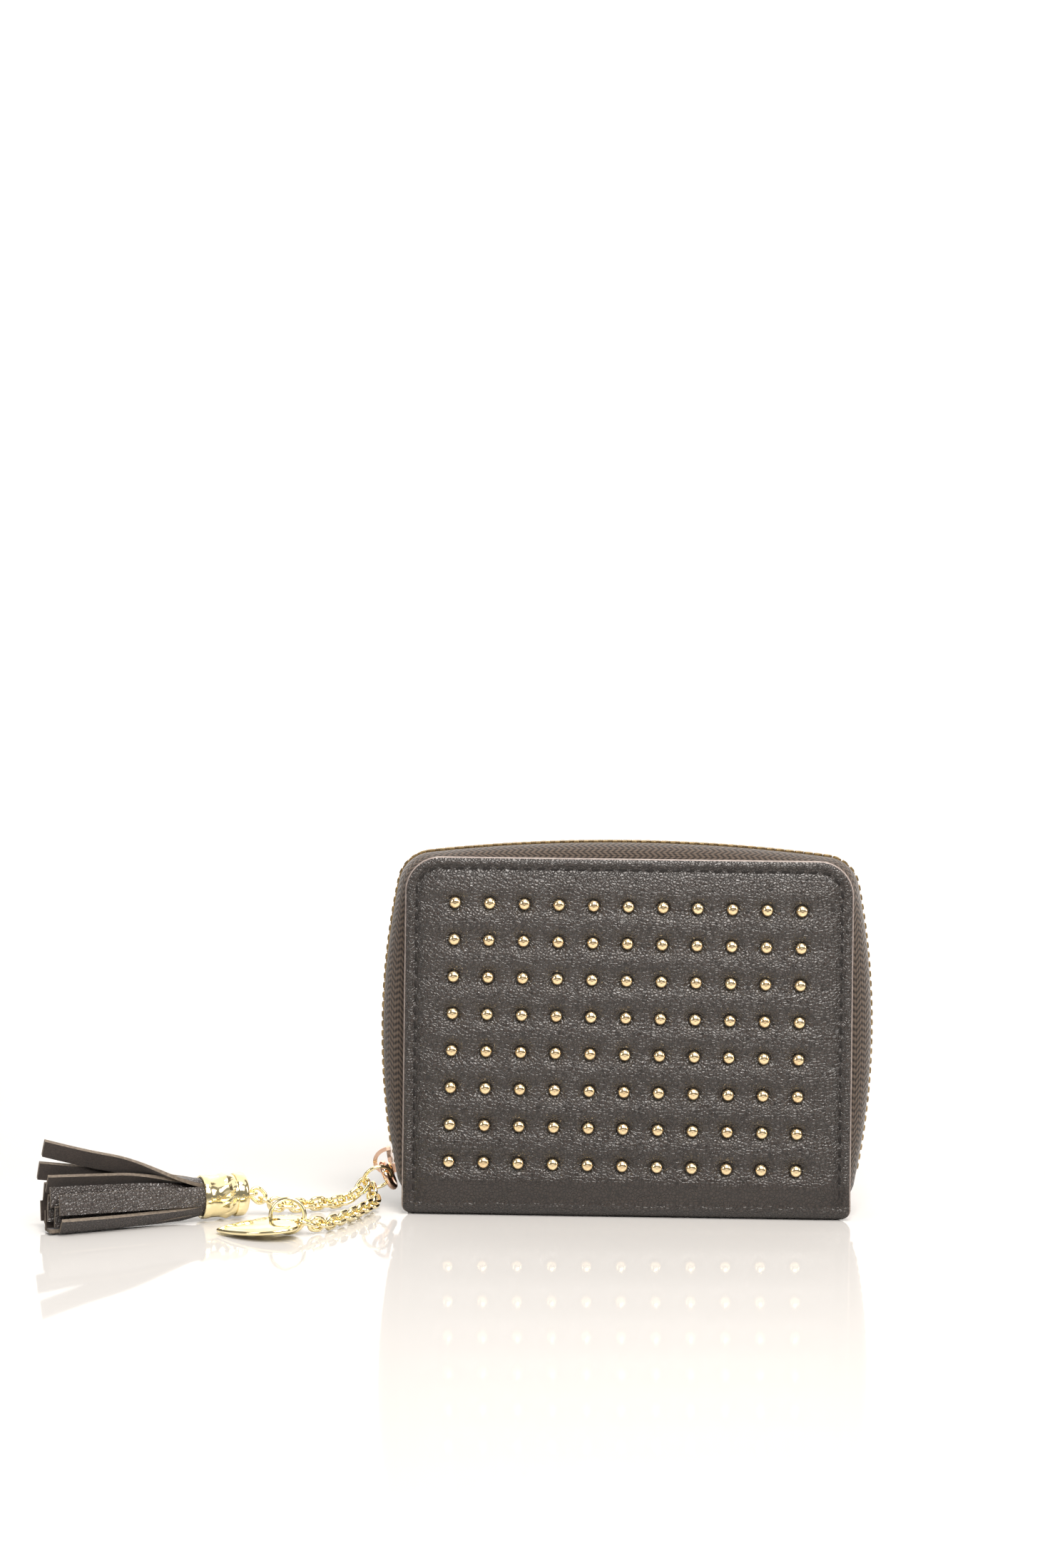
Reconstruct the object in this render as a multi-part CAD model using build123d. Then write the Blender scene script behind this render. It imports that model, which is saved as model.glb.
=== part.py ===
"""A small zip-round wallet that stands on its spine, with a chain, a charm and a tassel on its zip.

Millimetres. The origin is the middle of the spine's underside, +X runs along the spine,
+Y towards the back cover and +Z up. Each function makes one sub-part or one family of them.
"""
from build123d import *
import os
from math import asin, atan2, ceil, cos, degrees, radians, sin, sqrt

os.makedirs("parts", exist_ok=True)

# Covers
width = 111.6
height = 89.3
corner_radius = 8.5
foot_radius = 2.5
least_corner = 1.0
outer_y = 12.5
cover_bottom = 3.2
leather = 1.1
front_foam_thickness = 2.0
back_foam_thickness = 1.4
board_thickness = 0.8
lining_thickness = 0.6
hinge_y = 10.0
hinge_z = 2.5

# Spine
spine_half_y = 9.4
fold_radius = 3.1
spine_board_thickness = 0.8
spine_board_width = 16.0
spine_lining_thickness = 0.5
spine_lining_width = 14.0
spine_step = 1.0

# Zip line: a long arc on each side, a flatter one along the top
zip_half_width = 61.4
zip_widest_z = 46.5
zip_side_radius = 187.0
zip_top = 93.1
zip_shoulder_z = 89.3
zip_corner_radius = 8.5
zip_bottom = 8.5
tape_thickness = 0.5
tape_edge_y = 2.0
tape_bend_y = 4.8
tape_margin = 7.0
tape_inset = 1.5
tooth_pitch = 2.43
tooth_length = 1.6
tooth_thickness = 1.3
tooth_tip_y = 0.6
tooth_rounding = 0.3
first_tooth = 0.75
stop_size = (1.3, 1.4, 0.8)
stop_z = 8.95

# Slider
slider_z = 11.7
slider_length = 7.4
slider_width = 5.2
slider_gap = 1.9
slider_outer_plate = 0.9
slider_inner_plate = 0.7
slider_post = (2.2, 1.0)
slider_post_inset = 1.6
weld = 0.1
bridge_reach = 4.1
bridge_half_length = 3.5
bridge_wire = 1.0
bridge_width = 1.1
slider_notch = (6.8, 16.8, 3.8)

# Studs
stud_columns = 11
stud_rows = 8
stud_pitch_x = 8.62
stud_pitch_z = 9.21
stud_centre = (-0.6, 45.1)
stud_tilt = -0.75
stud_diameter = 3.0
stud_height = 1.1
stud_crown_radius = 0.12
stud_shoulder = (0.77, 0.68)
stud_pin_radius = 0.5
stud_pin_play = 0.02

# Stitches
stitch_pitch = 3.4
stitch_length = 2.4
stitch_width = 0.5
stitch_inset = 2.9

# Rings, chain and charm
pull_ring_radii = (3.15, 3.75)
pull_ring_wire = 1.8
pull_ring_centre = (-60.07, -0.29, 7.70)
pull_ring_along = (0.483, 0.0, -0.8756)
pull_ring_normal = (0.8756, 0.0, 0.483)
jump_ring_radius = 3.65
jump_ring_wire = 0.9
jump_ring_centre = (-62.50, -4.08, 7.76)
jump_ring_normal = (0.356, -0.750, -0.557)
link_length = 5.0
link_width = 3.9
link_wire = 1.0
ring_slack = 0.2
charm_ring_centre = (-80.8, -39.0, 4.65)
charm_ring_radius = 4.05
charm_ring_wire = 1.0
charm_length = 20.2
charm_half_width = 9.0
charm_thickness = 1.2
charm_tip = (-97.6, -39.0, 0.15)
charm_tilt = 5.7
charm_waist = (0.42, 1.55)
charm_lobe_reach = 1.12
charm_cleft = 4.0
charm_hole_inset = 6.15
charm_hole_radius = 1.4

# Tassel
tassel_yaw = 27.0
cap_centre = (-99.23, -20.87, 5.75)
cap_length = 11.4
cap_radius = 5.3
cap_wall = 0.7
cap_collar_radius = 4.3
cap_groove_depth = 0.5
cap_steps = (0.5, 0.9, 2.6, 2.8, 3.3, 3.5)
eye_radius = 1.5
eye_wire = 0.9
fringe_length = 36.8
fringe_end_radii = (6.4, 6.0)
fringe_lift = 0.4
fringe_play = 0.05

# Inside
card_pocket_tops = (68.0, 55.0, 42.0)
card_pocket_thickness = 0.6
card_pocket_half_width = 50.0
card_pocket_bottom = 4.7
card_pocket_corner = 2.0
coin_pocket_half_width = 49.0
coin_pocket_bottom = 8.0
coin_pocket_top = 58.0
coin_zip_z = 50.0
coin_zip_half_length = 45.0
coin_front_y = 6.4
coin_sheet_thickness = 0.6
coin_pocket_wall = 1.0
coin_pocket_corner = 3.0
coin_slot_half_height = 2.4
coin_tape_edge = 1.0
coin_tape_thickness = 0.5
coin_zip_y = coin_front_y + coin_tape_thickness / 2
coin_tooth = (1.2, 1.0, 0.5)
coin_tooth_pitch = 1.8
coin_stop = (1.2, 1.2, 2.0)
coin_stop_inset = 0.8

# The coin zip's slider and pull, from the zip's line
coin_slider_x = -39.4
coin_slider_plate = (5.0, 3.6)
coin_outer_plate = 0.6
coin_outer_plate_y = -1.1
coin_inner_plate = 0.45
coin_inner_plate_y = 0.85
coin_post = (1.2, 2.0, 0.6)
coin_post_x = -1.6
coin_bar_y = -2.9
coin_bar_radius = 0.35
coin_bar_length = 3.0
coin_lug = (0.6, 2.2, 1.0)
coin_lug_x = 1.3
coin_lug_y = -2.2
coin_eye = (0.95, 0.55, 1.6)
coin_blade = (3.4, 10.4, 1.2)
coin_blade_drop = 6.6
coin_blade_hole_drop = 10.2
coin_blade_hole_radius = 0.7
coin_neck = (1.6, 1.4)
coin_neck_drop = 1.4
coin_tab_thickness = 0.7

# Layers, worked out from the outside in
front_foam_y = -outer_y + leather
front_board_y = front_foam_y + front_foam_thickness
front_tape_y = front_board_y + board_thickness
front_lining_y = front_tape_y + tape_thickness
front_inner_y = front_lining_y + lining_thickness
back_foam_y = outer_y - leather
back_board_y = back_foam_y - back_foam_thickness
back_tape_y = back_board_y - board_thickness
back_lining_y = back_tape_y - tape_thickness
back_inner_y = back_lining_y - lining_thickness
board_inset = leather + 0.05
board_bottom = cover_bottom + 0.3
lining_inset = leather + 0.9
lining_bottom = cover_bottom + 0.6


def save(node, shape):
    """Write one node's STEP."""
    export_step(shape, f"parts/{node}.step")


def slab(sketch, y_low, y_high):
    """A flat layer: an outline in X and Z, between two Y planes."""
    return Pos(0, y_high, 0) * extrude(Plane.XZ * sketch, amount=y_high - y_low)


def cover_outline(inset, bottom):
    """A cover's outline, square at the bottom and rounded at its two top corners."""
    top = height - inset
    sheet = Pos(0, (bottom + top) / 2) * Rectangle(width - 2 * inset, top - bottom)
    radius = max(corner_radius - inset, least_corner)
    return fillet(sheet.vertices().group_by(Axis.Y)[-1], radius)


def side_x(z, offset=0.0):
    """How far out the zip's line is at a height, on its side arc."""
    radius = zip_side_radius + offset
    return zip_half_width + offset - radius + sqrt(radius**2 - (z - zip_widest_z) ** 2)


def zip_outline(offset, bottom):
    """The area inside the zip's line: two long side arcs, a top arc and two rounded corners."""
    shoulder = zip_shoulder_z + offset
    foot = (side_x(bottom, offset), bottom)
    corner = (side_x(shoulder, offset), shoulder)
    right = ThreePointArc(foot, (zip_half_width + offset, zip_widest_z), corner)
    top = ThreePointArc(corner, (0, zip_top + offset), (-corner[0], corner[1]))
    left = ThreePointArc(top @ 1, (-zip_half_width - offset, zip_widest_z), (-foot[0], bottom))
    base = Line(left @ 1, foot)
    sheet = make_face(Curve() + [right, top, left, base])
    return fillet(sheet.vertices().group_by(Axis.Y)[-1], zip_corner_radius + offset)


def zip_line():
    """The zip's line as one wire, from its right foot over the top to its left foot."""
    outline = zip_outline(0, zip_bottom)
    edges = [edge for edge in outline.edges() if edge.center().Y > zip_bottom + 0.01]
    line = Wire(edges)
    return line if (line @ 0).X > 0 else Wire([edge.reversed() for edge in reversed(line.edges())])


def layer(name, y_low, y_high, inset, bottom):
    """One flat layer with a cover's outline."""
    save(name, slab(cover_outline(inset, bottom), y_low, y_high))


def stud_places():
    """The middle of each stud, as places in X and Z on a slightly turned grid."""
    grid = GridLocations(stud_pitch_x, stud_pitch_z, stud_columns, stud_rows)
    return [Pos(*stud_centre) * Rot(0, 0, stud_tilt) * place for place in grid]


def make_front_leather():
    """The front panel with its edge turned round the board, and a hole for each stud's pin."""
    sheet = cover_outline(0, cover_bottom)
    holes = [place * Circle(stud_pin_radius) for place in stud_places()]
    panel = slab(sheet - holes, -outer_y, front_foam_y)
    rim = sheet - cover_outline(leather, cover_bottom - 1)
    save("front_leather", panel + slab(rim, front_foam_y, front_tape_y))


def make_back_leather():
    """The plain back panel with its turned edge."""
    sheet = cover_outline(0, cover_bottom)
    rim = sheet - cover_outline(leather, cover_bottom - 1)
    save("back_leather", slab(sheet, back_foam_y, outer_y) + slab(rim, back_tape_y, back_foam_y))


def make_studs():
    """Domed studs on the front leather, each with a small flat crown and a pin through the leather."""
    rim = (stud_diameter / 2, 0)
    crown = (stud_crown_radius, stud_height)
    shoulder = (rim[0] * stud_shoulder[0], stud_height * stud_shoulder[1])
    arc = ThreePointArc(rim, shoulder, crown)
    pin = stud_pin_radius - stud_pin_play
    profile = Polyline(crown, (0, stud_height), (0, -leather), (pin, -leather), (pin, 0), rim)
    stud = revolve(Plane.XZ * make_face(Curve() + [profile, arc]), Axis.Z)
    face = Plane(origin=(0, -outer_y, 0), x_dir=(1, 0, 0), z_dir=(0, -1, 0))
    save("front_studs", Compound([face * place * stud for place in stud_places()]))


def stitch_line():
    """The line that the stitches follow round the two sides and the top of a cover."""
    outline = cover_outline(stitch_inset, cover_bottom + 1)
    edges = [edge for edge in outline.edges() if edge.center().Y > cover_bottom + 1.01]
    return Wire(edges)


def make_stitches(name, y_face, outward):
    """Short bars of thread lying on a cover's face."""
    line = stitch_line()
    count = round(line.length / stitch_pitch)
    bars = []
    for index in range(count):
        share = (index + 0.5) / count
        spot = line.position_at(share)
        along = line.tangent_at(share)
        place = Plane((spot.X, y_face, spot.Y), (along.X, 0, along.Y), (0, outward, 0))
        bar = extrude(SlotOverall(stitch_length, stitch_width), amount=stitch_width / 2)
        bars.append(place * bar)
    save(name, Compound(bars))


def make_fold(name, side):
    """The leather's bend between the spine and a cover, a quarter round with rounded ends."""
    ring = Circle(fold_radius) - Circle(fold_radius - leather)
    quarter = ring & (Pos(side * fold_radius, -fold_radius) * Rectangle(*[2 * fold_radius] * 2))
    place = Plane((-width / 2, side * spine_half_y, fold_radius), (0, 1, 0), (1, 0, 0))
    bend = extrude(place * quarter, amount=width)
    blank = Pos(0, height / 2) * RectangleRounded(width, height, foot_radius)
    save(name, bend & slab(blank, -outer_y - 1, outer_y + 1))


def make_spine():
    """The strip that the wallet stands on, its board and its lining."""
    length = width - 2 * foot_radius
    strip = Pos(0, 0, leather / 2) * Box(length, 2 * spine_half_y, leather)
    save("spine_leather", strip)
    board_z = leather + spine_board_thickness / 2
    board = Box(length - spine_step, spine_board_width, spine_board_thickness)
    save("spine_board", Pos(0, 0, board_z) * board)
    lining_z = leather + spine_board_thickness + spine_lining_thickness / 2
    lining = Box(length - 2 * spine_step, spine_lining_width, spine_lining_thickness)
    save("spine_lining", Pos(0, 0, lining_z) * lining)


def zip_band(offset_out, offset_in, bottom):
    """A thin band along the zip's line."""
    return zip_outline(offset_out, bottom) - zip_outline(offset_in, bottom - 2)


def make_tape(name, side, cover_y, notch):
    """A zip tape: a flat edge along the teeth, a slanting web, and a margin sewn in the cover."""
    half = tape_thickness / 2
    web_bottom = cover_bottom + 1
    low, high = sorted((side * tape_edge_y, side * tape_bend_y))
    edge = slab(zip_band(half, -half, zip_bottom), low, high)
    if notch:
        notch_low, notch_high, notch_y = slider_notch
        block = Box(width, notch_y, notch_high - notch_low)
        edge -= Pos(-zip_half_width, side * notch_y / 2, (notch_low + notch_high) / 2) * block
    at_cover = cover_outline(tape_inset, web_bottom) - cover_outline(
        tape_inset + tape_thickness, web_bottom - 2
    )
    near = Pos(0, side * tape_bend_y, 0) * (Plane.XZ * zip_band(half, -half, web_bottom))
    far = Pos(0, cover_y, 0) * (Plane.XZ * at_cover)
    web = loft([near.face(), far.face()], ruled=True)
    margin = cover_outline(tape_inset, web_bottom) - cover_outline(
        tape_inset + tape_margin, web_bottom - 2
    )
    low, high = sorted((cover_y, cover_y - side * tape_thickness))
    save(name, edge + web + slab(margin, low, high))


def make_teeth(name, side, phase, notch):
    """A row of teeth along the zip's line, each a small rounded block."""
    line = zip_line()
    count = int(line.length / tooth_pitch) - 1
    depth = tape_edge_y - tooth_tip_y
    middle_y = side * (tape_edge_y + tooth_tip_y) / 2
    sheet = RectangleRounded(tooth_length, depth, tooth_rounding)
    tooth = extrude(sheet, amount=tooth_thickness / 2, both=True)
    teeth = []
    for index in range(count):
        share = (index + first_tooth + phase) * tooth_pitch / line.length
        spot = line.position_at(share)
        along = line.tangent_at(share)
        in_notch = slider_notch[0] < spot.Y < slider_notch[1] + tooth_length / 3
        if notch and spot.X < 0 and in_notch:
            continue
        across = Vector(along.Y, 0, -along.X)
        place = Plane((spot.X, middle_y, spot.Y), (along.X, 0, along.Y), across)
        teeth.append(place * tooth)
    save(name, Compound(teeth))


def make_end_stops():
    """The metal clips that close the back row at its two feet."""
    clip = Box(*stop_size)
    middle_y = (tooth_tip_y + tape_edge_y) / 2
    stops = [Pos(side * side_x(stop_z), middle_y, stop_z) * clip for side in (-1, 1)]
    save("zip_end_stops", Compound(stops))


def slider_frame():
    """A frame on the left side arc: local X up along the zip, local Z outwards."""
    angle = asin((zip_widest_z - slider_z) / zip_side_radius)
    outward = (-cos(angle), 0, -sin(angle))
    upward = (-sin(angle), 0, cos(angle))
    return Plane((-side_x(slider_z), 0, slider_z), upward, outward)


def make_slider():
    """The slider: two plates with the teeth between them, a post, and a wire bridge."""
    outline = SlotOverall(slider_length, slider_width)
    half_gap = slider_gap / 2
    body = Pos(0, 0, half_gap) * extrude(outline, amount=slider_outer_plate)
    body += Pos(0, 0, -half_gap - slider_inner_plate) * extrude(outline, amount=slider_inner_plate)
    post_x = slider_post_inset - slider_length / 2
    body += Pos(post_x, 0, 0) * Box(*slider_post, slider_gap + 2 * weld)
    top = half_gap + slider_outer_plate
    bow = Ellipse(bridge_half_length, bridge_reach)
    bow -= Ellipse(bridge_half_length - bridge_wire, bridge_reach - bridge_wire)
    half_plane = Rectangle(3 * bridge_half_length, bridge_reach + 2 * weld)
    bow &= Pos(0, bridge_reach / 2 - weld) * half_plane
    wire = extrude(Plane.XZ * bow, amount=bridge_width / 2, both=True)
    body += Pos(0, 0, top - weld / 2) * wire
    save("zip_slider", slider_frame() * body)


def ring(centre, normal, radius, wire):
    """A round ring of round wire."""
    return Plane(origin=centre, z_dir=normal) * Torus(radius, wire / 2)


def oval_ring(place, radii, wire):
    """An oval ring of round wire, in the given place's XY plane."""
    path = Wire([Edge.make_ellipse(*reversed(radii), start_angle=0, end_angle=360)])
    path = Rot(0, 0, 90) * path
    section = Plane(origin=(0, radii[1], 0), z_dir=(1, 0, 0)) * Circle(wire / 2)
    return place * sweep(section, path=path)


def oval_link(place):
    """A chain link lying in the given place's XY plane, long along its X."""
    wire_radius = link_wire / 2
    straight = (link_length - link_width) / 2
    bend = link_width / 2 - wire_radius
    loop = Wire(
        [
            Line((-straight, bend), (straight, bend)),
            ThreePointArc((straight, bend), (straight + bend, 0), (straight, -bend)),
            Line((straight, -bend), (-straight, -bend)),
            ThreePointArc((-straight, -bend), (-straight - bend, 0), (-straight, bend)),
        ]
    )
    section = Plane(origin=(0, bend, 0), z_dir=(1, 0, 0)) * Circle(wire_radius)
    return place * sweep(section, path=loop)


def facing(along, wire):
    """The turn about a strand that makes a link's opening face along a wire."""
    side = along.cross(Vector(0, 0, 1)).normalized()
    up = side.cross(along)
    return degrees(atan2(-up.dot(wire), side.dot(wire)))


def make_chain(name, route, holder, end, split):
    """A strand of links, each turned about a quarter against the last, in two swinging parts.

    The holder and the end are each a wire's thickness and its direction.
    """
    line = Spline(*route)
    inner = link_length / 2 - link_wire
    start = inner - holder[0] / 2 - ring_slack
    finish = inner - end[0] / 2 - ring_slack
    span = line.length - start - finish
    count = ceil(span / (2 * inner - ring_slack)) + 1
    pitch = span / (count - 1)
    first_turn = facing(line.tangent_at(start / line.length), Vector(*holder[1]))
    last_turn = facing(line.tangent_at(1 - finish / line.length), Vector(*end[1]))
    extra = (last_turn - first_turn - 90 * (count - 1) + 90) % 180 - 90
    links = []
    for index in range(count):
        share = (start + index * pitch) / line.length
        along = line.tangent_at(share)
        side = along.cross(Vector(0, 0, 1)).normalized()
        place = Plane(line.position_at(share), along, side)
        turn = first_turn + (90 + extra / (count - 1)) * index
        links.append(oval_link(place * Rot(turn, 0, 0)))
    save(f"{name}_near", Compound(links[:split]))
    save(f"{name}_far", Compound(links[split:]))


tassel_route = [
    (-65.83, -4.63, 6.38),
    (-67.8, -5.5, 3.9),
    (-71.0, -7.3, 2.4),
    (-76.5, -10.6, 2.2),
    (-83.0, -14.0, 2.2),
    (-88.0, -15.9, 3.2),
    (-91.48, -16.92, 5.75),
]
charm_route = [
    (-64.07, -2.63, 4.81),
    (-63.4, -4.6, 3.15),
    (-63.1, -8.6, 2.25),
    (-64.2, -14.0, 2.2),
    (-66.6, -22.0, 2.2),
    (-69.6, -30.0, 2.2),
    (-73.0, -36.0, 2.2),
    (-76.95, -39.0, 3.39),
]


def make_rings():
    """The pull ring, the jump ring and the charm's ring."""
    place = Plane(pull_ring_centre, pull_ring_along, pull_ring_normal)
    save("pull_ring", oval_ring(place, pull_ring_radii, pull_ring_wire))
    save("jump_ring", ring(jump_ring_centre, jump_ring_normal, jump_ring_radius, jump_ring_wire))
    save("charm_ring", ring(charm_ring_centre, (0, 1, 0), charm_ring_radius, charm_ring_wire))


def make_charm():
    """A flat heart with its tip away from the wallet, a cleft and a hole for its ring."""
    lobe = charm_half_width / 2
    waist = (charm_length * charm_waist[0], lobe * charm_waist[1])
    widest = (charm_length - lobe * charm_lobe_reach, 2 * lobe)
    tip = Vector(0, 0)
    upper = Spline(tip, waist, widest, (charm_length, lobe))
    cleft = (charm_length - charm_cleft, 0)
    notch = Line(upper @ 1, cleft)
    half_sheet = make_face(Curve() + [upper, notch, Line(cleft, tip)])
    sheet = half_sheet + mirror(half_sheet, about=Plane.XZ)
    sheet -= Pos(charm_length - charm_hole_inset, 0) * Circle(charm_hole_radius)
    plate = extrude(sheet, amount=charm_thickness)
    save("charm", Pos(*charm_tip) * Rot(0, -charm_tilt, 0) * plate)


def tassel_frame():
    """A frame on the tassel's axis: local Z towards its free end."""
    yaw = radians(tassel_yaw)
    return Plane(cap_centre, (sin(yaw), -cos(yaw), 0), (-cos(yaw), -sin(yaw), 0))


def make_tassel():
    """The cap, its wire eye, and the fringe rolled into it."""
    half = cap_length / 2
    bore = cap_radius - cap_wall
    groove_radius = cap_radius - cap_groove_depth
    outer = [
        (0, -half),
        (cap_collar_radius, -half),
        (cap_collar_radius, -half + cap_steps[0]),
        (cap_radius, -half + cap_steps[1]),
        (cap_radius, -half + cap_steps[2]),
        (groove_radius, -half + cap_steps[3]),
        (groove_radius, -half + cap_steps[4]),
        (cap_radius, -half + cap_steps[5]),
        (cap_radius, half),
        (bore, half),
        (bore, -half + cap_wall),
        (0, -half + cap_wall),
    ]
    shell = revolve(Plane.XZ * make_face(Polyline(*outer, close=True)), Axis.Z)
    save("tassel_cap", tassel_frame() * shell)
    eye = Pos(0, 0, -half - eye_radius) * Rot(90, 0, 0) * Torus(eye_radius, eye_wire / 2)
    clip = Pos(0, 0, -half - 3 * eye_radius) * Box(*[6 * eye_radius] * 3)
    save("tassel_eye", tassel_frame() * (eye & clip))
    fringe_root = Circle(bore - fringe_play)
    plug = Pos(0, 0, -half + cap_wall) * extrude(fringe_root, amount=cap_length - cap_wall)
    root = Pos(0, 0, half) * fringe_root
    end = Pos(0, fringe_lift, half + fringe_length) * Ellipse(*fringe_end_radii)
    bundle = loft([root.face(), end.face()])
    save("tassel_fringe", tassel_frame() * (plug + bundle))


def make_card_pockets():
    """Three stepped card pockets on the front's inside."""
    bottom = card_pocket_bottom
    for index, top in enumerate(card_pocket_tops):
        y_low = front_inner_y + index * card_pocket_thickness
        blank = RectangleRounded(2 * card_pocket_half_width, top - bottom, card_pocket_corner)
        sheet = Pos(0, (bottom + top) / 2) * blank
        save(f"card_pocket_{index + 1}", slab(sheet, y_low, y_low + card_pocket_thickness))


def make_coin_pocket():
    """A flat pocket on the back's inside: a front sheet with a slot for its zip, and a frame."""
    middle = (coin_pocket_bottom + coin_pocket_top) / 2
    tall = coin_pocket_top - coin_pocket_bottom
    wide = 2 * coin_pocket_half_width
    wall = coin_pocket_wall
    blank = Pos(0, middle) * RectangleRounded(wide, tall, coin_pocket_corner)
    inner = Pos(0, middle) * Rectangle(wide - 2 * wall, tall - 2 * wall)
    slot = Pos(0, coin_zip_z) * Rectangle(2 * coin_zip_half_length, 2 * coin_slot_half_height)
    sheet_y = coin_front_y + coin_sheet_thickness
    front = slab(blank - slot, coin_front_y, sheet_y)
    save("coin_pocket", front + slab(blank - inner, sheet_y, back_inner_y))


def make_coin_zip():
    """The coin zip's two tapes, two rows of teeth and two end stops."""
    tape_width = coin_slot_half_height - coin_tape_edge
    strip = Box(2 * coin_zip_half_length, coin_tape_thickness, tape_width)
    block = Box(*coin_tooth)
    count = int(2 * (coin_zip_half_length - coin_stop[0]) / coin_tooth_pitch)
    tapes = []
    teeth = []
    for side in (-1, 1):
        tape_z = coin_zip_z + side * (coin_slot_half_height + coin_tape_edge) / 2
        tooth_z = coin_zip_z + side * (coin_tape_edge - coin_tooth[2] / 2)
        tapes.append(Pos(0, coin_zip_y, tape_z) * strip)
        for index in range(count):
            x = (index - (count - 1) / 2) * coin_tooth_pitch
            teeth.append(Pos(x, coin_zip_y, tooth_z) * block)
    save("coin_zip_tapes", Compound(tapes))
    save("coin_zip_teeth", Compound(teeth))
    stop_x = coin_zip_half_length - coin_stop_inset
    stops = [Pos(side * stop_x, coin_zip_y, coin_zip_z) * Box(*coin_stop) for side in (-1, 1)]
    save("coin_zip_stops", Compound(stops))


def make_coin_slider():
    """The coin zip's slider, and the flat tab that hangs on its bar."""
    length, height_across = coin_slider_plate
    outer = Pos(0, coin_outer_plate_y, 0) * Box(length, coin_outer_plate, height_across)
    inner = Pos(0, coin_inner_plate_y, 0) * Box(length, coin_inner_plate, height_across)
    post = Pos(coin_post_x, 0, 0) * Box(*coin_post)
    lugs = [Pos(side * coin_lug_x, coin_lug_y, 0) * Box(*coin_lug) for side in (-1, 1)]
    bar = Pos(0, coin_bar_y, 0) * Rot(0, 90, 0) * Cylinder(coin_bar_radius, coin_bar_length)
    place = Pos(coin_slider_x, coin_zip_y, coin_zip_z)
    save("coin_zip_slider", place * (outer + inner + post + lugs + bar))
    ring_radius, hole_radius, ring_width = coin_eye
    eye = Rot(0, 90, 0) * (Cylinder(ring_radius, ring_width) - Cylinder(hole_radius, 2 * ring_width))
    blade = Pos(0, -coin_blade_drop) * RectangleRounded(*coin_blade)
    blade += Pos(0, -coin_neck_drop) * Rectangle(*coin_neck)
    blade -= Pos(0, -coin_blade_hole_drop) * Circle(coin_blade_hole_radius)
    tab = slab(blade, -coin_tab_thickness / 2, coin_tab_thickness / 2) + eye
    save("coin_zip_pull", place * Pos(0, coin_bar_y, 0) * tab)


make_front_leather()
make_back_leather()
layer("front_foam", front_foam_y, front_board_y, board_inset, board_bottom)
layer("front_board", front_board_y, front_tape_y, board_inset, board_bottom)
layer("front_lining", front_lining_y, front_inner_y, lining_inset, lining_bottom)
layer("back_foam", back_board_y, back_foam_y, board_inset, board_bottom)
layer("back_board", back_tape_y, back_board_y, board_inset, board_bottom)
layer("back_lining", back_inner_y, back_lining_y, lining_inset, lining_bottom)
make_studs()
make_stitches("front_stitches", -outer_y, -1)
make_stitches("back_stitches", outer_y, 1)
make_fold("front_fold", -1)
make_fold("back_fold", 1)
make_spine()
make_tape("front_zip_tape", -1, front_tape_y, True)
make_tape("back_zip_tape", 1, back_tape_y, False)
make_teeth("front_zip_teeth", -1, 0.0, True)
make_teeth("back_zip_teeth", 1, 0.5, False)
make_end_stops()
make_slider()
make_rings()
make_chain(
    "tassel_chain", tassel_route,
    (jump_ring_wire, (0.200, 0.643, -0.738)), (eye_wire, (0.454, -0.891, 0.0)), 4,
)
make_chain(
    "charm_chain", charm_route,
    (jump_ring_wire, (0.828, 0.529, -0.184)), (charm_ring_wire, (0.31, 0.0, 0.95)), 6,
)
make_charm()
make_tassel()
make_card_pockets()
make_coin_pocket()
make_coin_zip()
make_coin_slider()
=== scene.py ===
"""Looks for the chain wallet: leather shells, woven zip, chain, heart charm and tassel."""

from bisect import bisect_right
from math import cos, exp, hypot, pi, radians, sin, sqrt

import bpy
from mathutils import Matrix, Vector, noise
from mathutils.geometry import interpolate_bezier


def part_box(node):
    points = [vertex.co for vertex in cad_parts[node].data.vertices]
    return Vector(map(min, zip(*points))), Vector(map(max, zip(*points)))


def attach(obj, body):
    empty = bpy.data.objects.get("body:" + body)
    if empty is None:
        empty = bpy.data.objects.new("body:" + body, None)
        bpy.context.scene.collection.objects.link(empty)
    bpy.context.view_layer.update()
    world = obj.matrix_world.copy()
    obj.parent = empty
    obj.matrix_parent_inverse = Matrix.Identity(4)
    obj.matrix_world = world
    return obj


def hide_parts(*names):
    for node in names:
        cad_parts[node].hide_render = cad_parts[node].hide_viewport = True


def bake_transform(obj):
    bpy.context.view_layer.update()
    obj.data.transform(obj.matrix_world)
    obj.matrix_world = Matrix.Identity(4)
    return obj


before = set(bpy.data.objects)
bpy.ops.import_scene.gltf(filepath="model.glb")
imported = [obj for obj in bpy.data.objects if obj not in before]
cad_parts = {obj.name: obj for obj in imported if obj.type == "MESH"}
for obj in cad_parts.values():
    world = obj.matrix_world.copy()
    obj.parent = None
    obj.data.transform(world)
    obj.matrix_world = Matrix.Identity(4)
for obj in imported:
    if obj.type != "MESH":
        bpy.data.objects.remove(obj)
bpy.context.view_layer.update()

MM = 0.001

# Sizes in millimetres, from the frame
front_low, front_high = (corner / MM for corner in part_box("front_leather"))
HALF_WIDTH = front_high.x
TOP = front_high.z
FRONT_Y = -front_low.y
CORNER_RADIUS = 8.5
FOLD_RADIUS = 3.1
FOOT_RADIUS = 2.6
SPINE_HALF_Y = FRONT_Y - FOLD_RADIUS

# The shell's face ends a little inside the outline, and its relief fades towards the fold
RIM_INSET = 0.3
FACE_SHARE = 0.9946
FOLD_RELIEF = 0.35
SHELL_THICKNESS = 0.8
TAPE_THICKNESS = 0.5

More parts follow.
